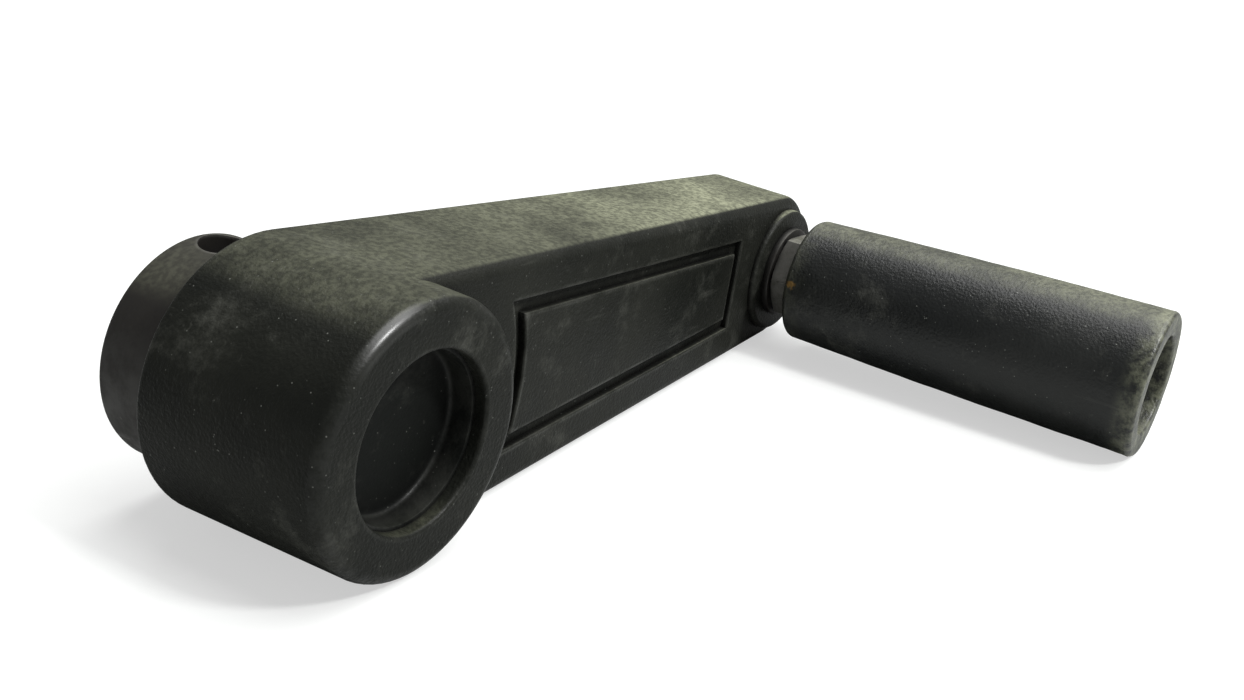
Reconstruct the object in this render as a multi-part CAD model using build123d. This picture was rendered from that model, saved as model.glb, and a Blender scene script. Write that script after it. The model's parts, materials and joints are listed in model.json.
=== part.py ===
from build123d import *
import math
import os

# Hand crank with a revolving grip, for a window winder. Millimetres, +Z up.
# The origin is the centre of the shaft bore at the collar's back face. +Y leaves the bore,
# +X runs along the arm, and +Z is the side of the clamping screw.
# A "station" is a distance forward of the collar's back face, so it is -Y.

# ---- overall sizes
crank_throw = 125.0
collar_length = 12.0
hub_depth = 30.5
hub_radius = 20.5
arm_end_radius = 15.3
arm_depth_at_hub = 24.3
arm_depth_at_end = 18.5
draft_angle = 1.69
grip_length = 69.8

# ---- moulded arm: edges, front panel, boss and cored back
hub_front_edge = 1.8
hub_mouth_edge = 0.6
arm_front_edge = 2.2
arm_back_edge = 0.6
panel_inset = 7.3
groove_width = 2.3
groove_depth = 1.3
groove_to_hub = 8.7
groove_to_spindle = 19.6
panel_edge = 0.35
boss_radius = 12.4
boss_height = 1.7
boss_edge = 0.9
back_wall = 3.2
front_skin = 4.0
rib_thickness = 2.4
hub_rib = 4.0
cell_length = 13.5

# ---- steel insert in the hub, and its clamping screw
shaft_bore_radius = 7.0
collar_radius = 16.65
collar_edge = 0.7
shank_wall = 3.5
shank_groove_depth = 1.2
shank_groove_width = 4.0
set_screw_radius = 4.0
set_screw_length = 6.0
set_screw_inset = 5.2
set_screw_socket_flats = 4.0
set_screw_socket_depth = 3.2
set_screw_point = 0.8
set_screw_back_off = 0.2

# ---- dished cap in the hub's mouth
cap_radius = 12.7
cap_rim_drop = 2.2
cap_wall = 0.55
cap_floor_drop = 6.1
cap_floor_thickness = 1.5

# ---- spindle and its fastening
stud_radius = 5.0
spindle_flats = 15.0
spindle_hex_length = 4.1
journal_radius = 6.0
journal_overrun = 2.3
journal_edge = 0.575
sleeve_wall = 2.0
front_washer_radius = 9.0
front_washer_thickness = 1.3
back_washer_radius = 10.0
back_washer_thickness = 2.0
lock_washer_radius = 9.0
lock_washer_thickness = 2.2
lock_washer_gap = 1.0
nut_flats = 17.0
nut_height = 5.0
nut_socket_room = 2.4
nut_pocket_spare = 1.3
stud_overrun = 0.7

# ---- revolving grip and its bearings
grip_inner_radius = 12.2
grip_outer_radius = 13.8
grip_crown = 0.25
grip_inner_edge = 3.0
grip_outer_edge = 3.4
mouth_step = 1.1
mouth_depth = 18.0
bush_wall = 2.0
bush_length = 14.0
bush_flange_step = 0.55
bush_flange_thickness = 1.5
bush_flange_stand = 0.35
end_washer_thickness = 1.0
end_washer_set_in = 0.1
ring_thickness = 1.0
ring_width = 2.1
ring_groove_depth = 0.25
ring_gap_angle = 50.0
ring_lug_radius = 1.5
ring_lug_hole = 0.75

# ---- clearances
running_fit = 0.05
thread_fit = 0.05
bolt_fit = 0.15
end_play = 0.15
ring_side_play = 0.05

# ---- how far a cut runs past the face it opens, and how close an edge lies to its plane
cut_overrun = 1.0
plane_slack = 0.01

# ---- stations and radii that several pieces share
hub_back = collar_length
hub_front = hub_back + hub_depth
insert_end = hub_front - cap_floor_drop - cap_floor_thickness
boss_face = hub_back + arm_depth_at_end + boss_height
pocket_depth = back_washer_thickness + lock_washer_thickness + nut_height + nut_pocket_spare
pocket_floor = hub_back + pocket_depth
hex_start = boss_face + front_washer_thickness
hex_end = hex_start + spindle_hex_length
grip_start = hex_end + end_play + bush_flange_stand
grip_end = grip_start + grip_length
mouth_floor = grip_end - mouth_depth
end_washer_start = mouth_floor + bush_flange_thickness + end_play
ring_groove_start = end_washer_start + end_washer_thickness
ring_groove_width = ring_thickness + 2 * ring_side_play
journal_end = ring_groove_start + ring_groove_width + journal_overrun
bush_radius = journal_radius + running_fit + bush_wall
bush_flange_radius = bush_radius + bush_flange_step
end_washer_radius = bush_flange_radius - end_washer_set_in
mouth_radius = bush_radius + mouth_step
shank_across_flats = 2 * (shaft_bore_radius + shank_wall)
nut_pocket_radius = nut_flats / math.sqrt(3) + nut_socket_room
sleeve_radius = stud_radius + bolt_fit + sleeve_wall
far = 4 * hub_radius


def facing(station, x=0.0):
    """The plane across the crank's axis at a station, looking forward, centred at x."""
    return Plane.XZ.offset(station) * Pos(x, 0, 0)


def disc(radius, start, length, x=0.0):
    """A round bar along the axis, from a station forward."""
    return extrude(facing(start, x) * Circle(radius), amount=length)


def tube(outer, inner, start, length, x=0.0):
    """A round bar with a hole right through."""
    return disc(outer, start, length, x) - disc(inner, start, length, x)


def hexagon_bar(across_flats, start, length, x=0.0):
    """A hexagon bar with two corners on the X direction and a flat on top."""
    profile = RegularPolygon(across_flats / 2, 6, major_radius=False)
    corner_angle = math.degrees(math.atan2(profile.vertices()[0].Y, profile.vertices()[0].X))
    return extrude(facing(start, x) * Rot(0, 0, -corner_angle) * profile, amount=length)


def edges_at(solid, station):
    """The edges that lie whole in the plane of a station."""
    return solid.edges().filter_by_position(Axis.Y, -station - plane_slack, -station + plane_slack)


def arm_outline(inset):
    """Two circles joined by their outer tangents: the arm's outline, pulled in by inset."""
    near = hub_radius - inset
    end = arm_end_radius - inset
    lean = math.asin((near - end) / crank_throw)
    near_top = (near * math.sin(lean), near * math.cos(lean))
    end_top = (crank_throw + end * math.sin(lean), end * math.cos(lean))
    near_low = (near_top[0], -near_top[1])
    end_low = (end_top[0], -end_top[1])
    top = Line(near_top, end_top)
    tip = ThreePointArc(end_top, (crank_throw + end, 0), end_low)
    low = Line(end_low, near_low)
    back = ThreePointArc(near_low, (-near, 0), near_top)
    return make_face(top + tip + low + back)


def behind_front(drop):
    """Everything behind the arm's sloping front face, once that face is sunk by drop."""
    slope = (arm_depth_at_end - arm_depth_at_hub) / crank_throw
    first = -far
    last = crank_throw + far
    first_depth = hub_back + arm_depth_at_hub + slope * first - drop
    last_depth = hub_back + arm_depth_at_hub + slope * last - drop
    corners = ((first, 0), (last, 0), (last, -last_depth), (first, -first_depth))
    side = make_face(Polyline(*corners, close=True))
    return extrude(side, amount=far, both=True)


def arm_blade():
    """The tapering arm with draft on its sides and rounded edges."""
    bar = extrude(facing(hub_back) * arm_outline(0), amount=hub_depth, taper=draft_angle)
    blade = bar & behind_front(0)
    front_face = blade.faces().sort_by(Axis.Y)[0]
    blade = fillet(front_face.edges(), arm_front_edge)
    return fillet(edges_at(blade, hub_back), arm_back_edge)


def hub_barrel():
    """The round hub that stands forward of the arm."""
    barrel = extrude(facing(hub_back) * Circle(hub_radius), amount=hub_depth, taper=draft_angle)
    barrel = fillet(edges_at(barrel, hub_front), hub_front_edge)
    return fillet(edges_at(barrel, hub_back), arm_back_edge)


def spindle_boss():
    """The raised round pad that the spindle's washer sits on."""
    pad = disc(boss_radius, pocket_floor, boss_face - pocket_floor, crank_throw)
    return fillet(edges_at(pad, boss_face), boss_edge)


def panel_outline(inset):
    """The front panel's outline: an arc about the hub, two tapering sides and a straight end."""
    past_hub = hub_radius + groove_to_hub + (inset - panel_inset)
    end_x = crank_throw - groove_to_spindle - (inset - panel_inset)
    window = Pos(end_x / 2, 0) * Rectangle(end_x, 2 * hub_radius)
    return (arm_outline(inset) & window) - Circle(past_hub)


def panel_groove():
    """The groove that outlines the front panel, cut square to the crank's axis."""
    track = panel_outline(panel_inset) - panel_outline(panel_inset + groove_width)
    cutter = extrude(facing(hub_back) * track, amount=hub_depth)
    return cutter - behind_front(groove_depth)


def panel_edges(arm):
    """The edges where the groove opens through the arm's front face."""
    skin = behind_front(-panel_edge / 4) - behind_front(panel_edge / 4)
    inside = panel_outline(panel_inset - panel_edge)
    zone = skin & extrude(facing(hub_back) * inside, amount=hub_depth)
    found = []
    for edge in arm.edges():
        if all(zone.is_inside(edge @ part) for part in (0.0, 0.5, 1.0)):
            found.append(edge)
    return found


def core_cells():
    """The square cells that lighten the arm's back, between a middle rib and cross ribs."""
    start_x = hub_radius + hub_rib
    end_x = crank_throw - nut_pocket_radius - back_wall
    cells = arm_outline(back_wall) - Circle(start_x) - Pos(crank_throw, 0) * Circle(crank_throw - end_x)
    cells = cells & (Pos(end_x / 2, 0) * Rectangle(end_x, 2 * hub_radius))
    cells = cells - Pos(crank_throw / 2, 0) * Rectangle(crank_throw, rib_thickness)
    count = round((end_x - start_x) / cell_length)
    pitch = (end_x - start_x) / count
    for index in range(1, count):
        cells = cells - Pos(start_x + index * pitch, 0) * Rectangle(rib_thickness, 2 * hub_radius)
    return extrude(facing(hub_back) * cells, amount=hub_depth) & behind_front(front_skin)


def insert_body():
    """The outside of the steel insert: a round collar and a grooved hexagon shank."""
    collar = disc(collar_radius, 0, collar_length)
    collar = fillet(edges_at(collar, 0), collar_edge)
    shank = hexagon_bar(shank_across_flats, hub_back, insert_end - hub_back)
    groove_start = (hub_back + insert_end - shank_groove_width) / 2
    waist = shank_across_flats / 2 - shank_groove_depth
    shank = shank - tube(hub_radius, waist, groove_start, shank_groove_width)
    return collar + shank


def make_crank_arm():
    arm = arm_blade() + hub_barrel() + spindle_boss()
    arm = arm - panel_groove() - core_cells() - insert_body()
    arm = arm - disc(cap_radius, insert_end, hub_depth)
    arm = arm - disc(nut_pocket_radius, hub_back - cut_overrun, pocket_depth + cut_overrun, crank_throw)
    arm = arm - disc(sleeve_radius, pocket_floor - cut_overrun, hub_depth, crank_throw)
    mouth = edges_at(arm, hub_front).sort_by(SortBy.LENGTH)[0]
    arm = fillet(mouth, hub_mouth_edge)
    return fillet(panel_edges(arm), panel_edge)


def screw_bar(radius, low, high):
    """A round bar on the clamping screw's line, between two heights."""
    standing = (Align.CENTER, Align.CENTER, Align.MIN)
    return Pos(0, -set_screw_inset, low) * Cylinder(radius, high - low, align=standing)


def make_hub_insert():
    insert = insert_body() - disc(shaft_bore_radius, 0, insert_end)
    return insert - screw_bar(set_screw_radius + thread_fit, 0, collar_radius + cut_overrun)


def make_set_screw():
    """A headless screw with a hexagon socket and a flat point, backed off clear of the bore."""
    tip = shaft_bore_radius + set_screw_back_off
    top = tip + set_screw_length
    screw = screw_bar(set_screw_radius, tip, top)
    point = screw.edges().filter_by(GeomType.CIRCLE).group_by(Axis.Z)[0]
    screw = chamfer(point, set_screw_point)
    socket = RegularPolygon(set_screw_socket_flats / 2, 6, major_radius=False)
    cut = extrude(Pos(0, -set_screw_inset, top) * socket, amount=-set_screw_socket_depth)
    return screw - cut


def make_cover_cap():
    """A dished cap pressed into the hub's mouth over the end of the bore."""
    outside = disc(cap_radius, insert_end, cap_floor_drop + cap_floor_thickness - cap_rim_drop)
    dish = disc(cap_radius - cap_wall, insert_end + cap_floor_thickness, cap_floor_drop)
    return outside - dish


def make_spindle():
    """One turned piece: threaded stud, hexagon for the spanner, and the grip's journal."""
    stud_start = pocket_floor - back_washer_thickness - lock_washer_thickness - nut_height - stud_overrun
    stud = disc(stud_radius, stud_start, hex_start - stud_start, crank_throw)
    stud = chamfer(edges_at(stud, stud_start), stud_overrun)
    hexagon = hexagon_bar(spindle_flats, hex_start, spindle_hex_length, crank_throw)
    journal = disc(journal_radius, hex_end, journal_end - hex_end, crank_throw)
    journal = chamfer(edges_at(journal, journal_end), journal_edge)
    groove_radius = journal_radius - ring_groove_depth
    groove = tube(2 * journal_radius, groove_radius, ring_groove_start, ring_groove_width, crank_throw)
    return stud + hexagon + (journal - groove)


def make_limiter_sleeve():
    """A steel sleeve in the arm's end that carries the nut's clamping load."""
    return tube(sleeve_radius, stud_radius + bolt_fit, pocket_floor, boss_face - pocket_floor, crank_throw)


def make_spindle_washer():
    return tube(front_washer_radius, stud_radius + bolt_fit, boss_face, front_washer_thickness, crank_throw)


def make_back_washer():
    start = pocket_floor - back_washer_thickness
    return tube(back_washer_radius, stud_radius + bolt_fit, start, back_washer_thickness, crank_throw)


def make_lock_washer():
    """A split spring washer, squeezed flat."""
    start = pocket_floor - back_washer_thickness - lock_washer_thickness
    ring = tube(lock_washer_radius, stud_radius + bolt_fit, start, lock_washer_thickness, crank_throw)
    slit = Pos(0, lock_washer_radius) * Rectangle(lock_washer_gap, 2 * lock_washer_radius)
    return ring - extrude(facing(start, crank_throw) * slit, amount=lock_washer_thickness)


def make_spindle_nut():
    start = pocket_floor - back_washer_thickness - lock_washer_thickness - nut_height
    nut = hexagon_bar(nut_flats, start, nut_height, crank_throw)
    return nut - disc(stud_radius + thread_fit, start, nut_height, crank_throw)


def make_grip():
    """The slightly crowned sleeve that the hand holds, with an open mouth at its outer end."""
    start = (crank_throw + grip_inner_radius, -grip_start)
    end = (crank_throw + grip_outer_radius, -grip_end)
    middle_radius = (grip_inner_radius + grip_outer_radius) / 2 + grip_crown
    middle = (crank_throw + middle_radius, -(grip_start + grip_end) / 2)
    side = ThreePointArc(start, middle, end)
    cap_line = Polyline(end, (crank_throw, -grip_end), (crank_throw, -grip_start), start)
    body = revolve(make_face(side + cap_line), Axis((crank_throw, 0, 0), (0, 1, 0)))
    body = fillet(edges_at(body, grip_start), grip_inner_edge)
    body = fillet(edges_at(body, grip_end), grip_outer_edge)
    body = body - disc(bush_radius, grip_start, grip_length, crank_throw)
    body = body - disc(mouth_radius, mouth_floor, mouth_depth, crank_throw)
    seat_depth = bush_flange_thickness - bush_flange_stand
    return body - disc(bush_flange_radius, grip_start, seat_depth, crank_throw)


def make_inner_bush():
    """A flanged bush whose flange runs on the spindle's hexagon."""
    start = grip_start - bush_flange_stand
    flange = disc(bush_flange_radius, start, bush_flange_thickness, crank_throw)
    barrel = disc(bush_radius, start, bush_length, crank_throw)
    return flange + barrel - disc(journal_radius + running_fit, start, bush_length, crank_throw)


def make_outer_bush():
    """A flanged bush whose flange sits on the floor of the grip's open mouth."""
    start = mouth_floor + bush_flange_thickness - bush_length
    flange = disc(bush_flange_radius, mouth_floor, bush_flange_thickness, crank_throw)
    barrel = disc(bush_radius, start, bush_length, crank_throw)
    return flange + barrel - disc(journal_radius + running_fit, start, bush_length, crank_throw)


def make_end_washer():
    hole = journal_radius + running_fit
    return tube(end_washer_radius, hole, end_washer_start, end_washer_thickness, crank_throw)


def make_retaining_ring():
    """An open spring ring in the journal's groove, with two lugs for pliers."""
    inner = journal_radius - ring_groove_depth
    middle = inner + ring_width / 2
    band = Circle(inner + ring_width) - Circle(inner)
    half_gap = math.radians(ring_gap_angle / 2)
    reach = 2 * (inner + ring_width)
    corner = (reach * math.sin(half_gap), -reach * math.cos(half_gap))
    wedge = make_face(Polyline((0, 0), corner, (-corner[0], corner[1]), close=True))
    ring = band - wedge
    lug_angle = half_gap + ring_lug_radius / middle
    for side in (-1, 1):
        centre = Pos(side * middle * math.sin(lug_angle), -middle * math.cos(lug_angle))
        ring = ring + centre * Circle(ring_lug_radius)
        ring = ring - centre * Circle(ring_lug_hole)
    ring = ring - Circle(inner)
    start = ring_groove_start + ring_side_play
    return extrude(facing(start, crank_throw) * ring, amount=ring_thickness)


pieces = {
    "crank_arm": make_crank_arm,
    "hub_insert": make_hub_insert,
    "set_screw": make_set_screw,
    "cover_cap": make_cover_cap,
    "spindle": make_spindle,
    "limiter_sleeve": make_limiter_sleeve,
    "spindle_washer": make_spindle_washer,
    "back_washer": make_back_washer,
    "lock_washer": make_lock_washer,
    "spindle_nut": make_spindle_nut,
    "grip": make_grip,
    "inner_bush": make_inner_bush,
    "outer_bush": make_outer_bush,
    "end_washer": make_end_washer,
    "retaining_ring": make_retaining_ring,
}

os.makedirs("parts", exist_ok=True)
for node, make in pieces.items():
    export_step(make(), "parts/" + node + ".step")
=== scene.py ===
# %% [markdown]
# # A hand crank with a revolving grip
# The crank turns the shaft of a window winder. Its arm is a black nylon moulding around a steel
# insert, and its grip is a hollow sleeve that spins on a steel spindle. The engineering model holds
# every piece at its true place, so the lesson starts by loading it as a fixed frame.

# %% Load the frame
import json
import math

import bmesh
import bpy
from mathutils import Matrix, Vector


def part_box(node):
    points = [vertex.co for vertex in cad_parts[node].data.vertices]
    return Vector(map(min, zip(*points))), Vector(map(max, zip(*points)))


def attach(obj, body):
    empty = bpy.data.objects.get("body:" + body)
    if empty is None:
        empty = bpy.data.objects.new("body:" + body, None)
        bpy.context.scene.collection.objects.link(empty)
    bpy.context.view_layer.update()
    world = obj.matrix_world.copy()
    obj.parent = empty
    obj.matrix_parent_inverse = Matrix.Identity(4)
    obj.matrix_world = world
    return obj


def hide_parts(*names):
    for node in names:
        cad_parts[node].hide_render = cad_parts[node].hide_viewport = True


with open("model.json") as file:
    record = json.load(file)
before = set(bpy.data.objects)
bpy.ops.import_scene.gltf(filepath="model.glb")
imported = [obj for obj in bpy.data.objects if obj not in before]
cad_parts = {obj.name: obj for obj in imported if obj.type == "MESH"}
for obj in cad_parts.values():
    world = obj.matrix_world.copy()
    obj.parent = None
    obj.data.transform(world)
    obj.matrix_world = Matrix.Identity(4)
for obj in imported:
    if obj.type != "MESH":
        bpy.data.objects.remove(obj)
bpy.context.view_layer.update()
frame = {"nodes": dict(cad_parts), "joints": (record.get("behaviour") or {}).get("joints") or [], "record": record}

MM = 0.001
print("nodes:", ", ".join(sorted(frame["nodes"])))

# %% [markdown]
# ## Places that every piece is worked out from
# The revolving grip's joint gives the spindle's line, and each node's box gives how wide it is and
# where it starts and ends along that line, so a piece moves with its node. The bore's size comes
# from the record. Sizes inside a piece, which a box can't tell, are named in the piece's own cell.

# %% Driving places
spin = next(joint for joint in frame["joints"] if joint["name"] == "grip_spin")
bore = next(mount for mount in frame["record"]["mounts"] if mount["name"] == "shaft_bore")
throw = spin["pos_m"][0]
bore_radius = bore["dims"]["r_mm"] * MM


def span(node):
    """Where a node ends at the back and at the front of the crank: its highest and lowest Y."""
    low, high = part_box(node)
    return high[1], low[1]


def radius_of(node, across=0.0):
    """How far a round node reaches sideways from its own line, which lies at X = across."""
    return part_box(node)[1][0] - across


hub_radius = -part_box("crank_arm")[0][0]
arm_end_radius = radius_of("crank_arm", throw)
hub_back, hub_front = span("crank_arm")
grip_start, grip_end = span("grip")
grip_radius = radius_of("grip", throw)
collar_radius = radius_of("hub_insert")
print(f"throw {throw / MM:.1f} mm, hub {hub_radius / MM:.1f} mm, grip {grip_radius / MM:.1f} mm")

# %% [markdown]
# ## Camera
# The crank lies in front of the camera with its hub nearest and its grip to the right. A camera is
# aimed by three turns: round the upright axis, down towards the table, and a roll about the line of
# sight because it was held slightly askew. Writing them as three angles keeps each one readable.

# %% Set the camera
EYE = Vector((-133.7, -144.1, 74.2)) * MM
TURN_RIGHT = math.radians(60.57)
LOOK_DOWN = math.radians(19.02)
ROLL = math.radians(9.25)
LENS_MM = 41.08

lens = bpy.data.cameras.new("camera")
lens.lens = LENS_MM
lens.sensor_width = 36.0
lens.clip_start = MM
camera = bpy.data.objects.new("camera", lens)
bpy.context.scene.collection.objects.link(camera)
aim = Matrix.Rotation(-TURN_RIGHT, 4, "Z") @ Matrix.Rotation(math.pi / 2 - LOOK_DOWN, 4, "X")
camera.matrix_world = Matrix.Translation(EYE) @ aim @ Matrix.Rotation(ROLL, 4, "Z")
bpy.context.scene.camera = camera
print("line of sight", [round(v, 3) for v in aim @ Vector((0, 0, -1))])

# %% [markdown]
# ## Modelling helpers
# Most of the hidden and half-hidden pieces are turned on a lathe, so Blender's spin tool is the
# natural way to make them: one point is extruded along the outline, and the outline is spun round
# the piece's own line. Sharp rings are then picked out by their place and bevelled, which is what a
# turner does with a file.

# %% Lathe and edge helpers
LATHE_STEPS = 96
WELD = 0.004 * MM
ON_RING = 0.02 * MM


def pick(piece):
    """Makes one piece, and nothing else, selected and active."""
    bpy.ops.object.select_all(action="DESELECT")
    bpy.context.view_layer.objects.active = piece
    piece.select_set(True)


def open_piece(piece):
    """Puts one piece in edit mode, with none of its points selected."""
    pick(piece)
    bpy.ops.object.mode_set(mode="EDIT")
    bpy.ops.mesh.select_all(action="DESELECT")


def close_piece():
    """Leaves edit mode and hands the piece back."""
    bpy.ops.object.mode_set(mode="OBJECT")
    return bpy.context.object


def weld_and_face_out():
    """Merges points that coincide and turns every face outwards."""
    bpy.ops.mesh.select_all(action="SELECT")
    bpy.ops.mesh.remove_doubles(threshold=WELD)
    bpy.ops.mesh.normals_make_consistent(inside=False)
    bpy.ops.mesh.select_all(action="DESELECT")


def apply_modifier(piece, kind, **settings):
    """Gives a piece one modifier with its settings and applies it."""
    pick(piece)
    modifier = piece.modifiers.new(kind.lower(), kind)
    for key, value in settings.items():
        setattr(modifier, key, value)
    bpy.ops.object.modifier_apply(modifier=modifier.name)


def lathe(name, outline, across=0.0, steps=LATHE_STEPS, angle=2 * math.pi):
    """Extrudes a point through an outline of (radius, y) and spins it round a line along Y."""
    bpy.ops.object.select_all(action="DESELECT")
    radius, y = outline[0]
    bpy.ops.mesh.primitive_plane_add(size=MM, location=(0, 0, 0))
    piece = bpy.context.object
    piece.name = name
    open_piece(piece)
    bpy.ops.mesh.select_all(action="SELECT")
    bpy.ops.mesh.merge(type="CENTER")
    bpy.ops.transform.translate(value=(across + radius, y, 0))
    for next_radius, next_y in outline[1:]:
        step = (next_radius - radius, next_y - y, 0)
        bpy.ops.mesh.extrude_vertices_move(TRANSFORM_OT_translate={"value": step})
        radius, y = next_radius, next_y
    bpy.ops.mesh.select_all(action="SELECT")
    bpy.ops.mesh.spin(steps=steps, angle=angle, center=(across, 0, 0), axis=(0, 1, 0))
    weld_and_face_out()
    return close_piece()


def bevel_edges(piece, wanted, size, segments):
    """Rounds the edges that a rule picks out, and says how many there were."""
    open_piece(piece)
    bpy.ops.mesh.select_mode(type="EDGE")
    mesh = bmesh.from_edit_mesh(piece.data)
    picked = [edge for edge in mesh.edges if wanted(edge)]
    for edge in picked:
        edge.select_set(True)
    count = len(picked)
    bmesh.update_edit_mesh(piece.data)
    bpy.ops.mesh.bevel(offset=size, offset_type="OFFSET", segments=segments, affect="EDGES",
                       clamp_overlap=True)
    bpy.ops.mesh.select_all(action="DESELECT")
    bpy.ops.mesh.select_mode(type="VERT")
    close_piece()
    return count


def round_ring(piece, radius, y, size, across=0.0, segments=3):
    """Bevels one sharp ring of a turned piece, found by its radius and its Y."""
    def on_ring(point):
        off_radius = abs(math.hypot(point.co.x - across, point.co.z) - radius)
        return off_radius < ON_RING and abs(point.co.y - y) < ON_RING

    bevel_edges(piece, lambda edge: all(on_ring(point) for point in edge.verts), size, segments)


def tube_outline(outer, inner, back, front):
    """The closed outline of a plain tube or washer."""
    return [(outer, back), (outer, front), (inner, front), (inner, back), (outer, back)]


def drill(radius, lead_in, back, front, across=0.0, steps=LATHE_STEPS):
    """A tool for a hole along Y that opens out at 45 degrees at the back, by the lead-in."""
    return lathe("drill", [(0, back + MM), (radius + lead_in + MM, back + MM), (radius, back - lead_in),
                           (radius, front - MM), (0, front - MM)], across, steps)


def hexagon(name, across_flats, back, front, across=0.0):
    """A six-sided bar along Y, with a flat facet upwards."""
    bpy.ops.object.select_all(action="DESELECT")
    bpy.ops.mesh.primitive_cylinder_add(
        vertices=6, radius=across_flats / math.sqrt(3), depth=back - front,
        location=(across, (back + front) / 2, 0), rotation=(math.pi / 2, math.pi / 6, 0))
    piece = bpy.context.object
    piece.name = name
    bpy.ops.object.transform_apply(location=True, rotation=True, scale=True)
    return piece


def combine(piece, tool, operation):
    """Cuts, joins or keeps what two pieces share, then throws the tool away."""
    apply_modifier(piece, "BOOLEAN", operation=operation, solver="EXACT", object=tool)
    bpy.data.objects.remove(tool)
    return piece


def finish_piece(piece, node, body, finish, smooth_below):
    """Smooths a piece, gives it its finish, and says which body it rides and which node it replaces."""
    pick(piece)
    bpy.ops.object.shade_smooth_by_angle(angle=math.radians(smooth_below))
    piece.data.materials.append(finish)
    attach(piece, body)
    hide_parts(node)
    print(f"{piece.name}: {len(piece.data.polygons)} faces, stands for {node}")


# %% [markdown]
# ## Finishes
# A finish is a Principled shader fed by small effects: settled dust, worn edges, painted shade in corners, moulded
# grain and fine scratches. Each effect is a node group with named inputs, built once and placed in every material
# with its own values, so one change to the dust shows on all of them.

# %% Shader helpers
def place(tree, kind, settings=None, **inputs):
    """Adds a shader node. An input is a value or another node's output. i0, i1 are inputs by number."""
    node = tree.nodes.new("ShaderNode" + kind)
    for key, value in (settings or {}).items():
        setattr(node, key, value)
    for key, value in inputs.items():
        by_number = key[0] == "i" and key[1:].isdigit()
        socket = node.inputs[int(key[1:])] if by_number else node.inputs[key.replace("_", " ")]
        if isinstance(value, bpy.types.NodeSocket):
            tree.links.new(value, socket)
        else:
            socket.default_value = value
    return node


def calc(tree, operation, first, second=0.0):
    """One sum on two numbers, such as ADD, SUBTRACT or MAXIMUM."""
    return place(tree, "Math", {"operation": operation}, i0=first, i1=second).outputs[0]


def product(tree, first, *others):
    """Multiplies numbers or masks together."""
    for other in others:
        first = calc(tree, "MULTIPLY", first, other)
    return first


def ramp(tree, value, start, end, low=0.0, high=1.0):
    """Takes a value from one range to another with soft ends."""
    return place(tree, "MapRange", {"interpolation_type": "SMOOTHSTEP"}, Value=value, i1=start, i2=end,
                 i3=low, i4=high).outputs[0]


def blend(tree, mask, under, over):
    """Lays one colour over another by a mask."""
    return place(tree, "Mix", {"data_type": "RGBA"}, i0=mask, i6=under, i7=over).outputs[2]


def noise(tree, where, scale, detail=3.0, rough=0.55):
    """Soft noise, with finer spots at a higher scale."""
    return place(tree, "TexNoise", Vector=where, Scale=scale, Detail=detail, Roughness=rough).outputs["Fac"]


def own_place(tree):
    """Where a point lies in the object's own coordinates."""
    return place(tree, "TexCoord").outputs["Object"]


def axis_of(tree, vector, axis):
    """One axis of a vector."""
    return place(tree, "SeparateXYZ", Vector=vector).outputs[axis]


def distance(tree, where, centre):
    """How far a point lies from a fixed place."""
    return place(tree, "VectorMath", {"operation": "DISTANCE"}, i0=where, i1=centre).outputs["Value"]


def new_group(name, inputs, outputs):
    """An empty node group with named inputs and outputs."""
    tree = bpy.data.node_groups.new(name, "ShaderNodeTree")
    for label, default in inputs.items():
        socket = tree.interface.new_socket(label, in_out="INPUT", socket_type="NodeSocketFloat")
        socket.default_value = default
    for label in outputs:
        tree.interface.new_socket(label, in_out="OUTPUT", socket_type="NodeSocketFloat")
    return tree, tree.nodes.new("NodeGroupInput").outputs, tree.nodes.new("NodeGroupOutput").inputs


def use_group(tree, group, **values):
    """Places an effect in a material with its own values."""
    node = tree.nodes.new("ShaderNodeGroup")
    node.node_tree = group
    for key, value in values.items():
        node.inputs[key.replace("_", " ")].default_value = value
    return node.outputs


# %% [markdown]
# ### Settled dust
# Dust falls from above, so it lies where the surface looks up and thins out as it turns away. The
# mask is the upward part of the object's own normal, broken into soft patches where a hand has
# brushed past, and peppered with grains. It stays off the walls of deep holes, which outward
# occlusion tells apart from open surfaces. Using the object's normal keeps the dust on its piece
# when the grip spins.

# %% Dust group
SLOPE_FADE = 0.18
HOLE_DEPTH = 9 * MM
dust_group, given, out = new_group(
    "settled_dust", {"Amount": 1.0, "Reach": 0.7, "Patch Scale": 45.0}, ["Mask"])
spot = own_place(dust_group)
upward = axis_of(dust_group, place(dust_group, "TexCoord").outputs["Normal"], "Z")
full = calc(dust_group, "ADD", given["Reach"], SLOPE_FADE)
facing_up = ramp(dust_group, upward, given["Reach"], full)
patches = noise(dust_group, spot, given["Patch Scale"], 9.0, 0.68)
patches = ramp(dust_group, patches, 0.36, 0.62, 0.42, 1.0)
grains = ramp(dust_group, noise(dust_group, spot, 1100.0, 3.0), 0.36, 0.64, 0.48, 1.0)
around = place(dust_group, "AmbientOcclusion", {"samples": 6}, Distance=HOLE_DEPTH)
open_sky = ramp(dust_group, around.outputs["AO"], 0.55, 0.85)
dust_mask = product(dust_group, facing_up, patches, grains, open_sky, given["Amount"])
dust_group.links.new(dust_mask, out["Mask"])

# %% [markdown]
# ### Worn edges
# Handling polishes the outward corners and leaves a thin pale line. Looking inwards from the
# surface, a ray near such a corner soon meets the other side of it, so inward occlusion over a short
# distance finds corners on any mesh. Noise breaks the line up, because wear is never even. The
# unbroken corner comes out too, since dust is brushed off all of it.

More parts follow.
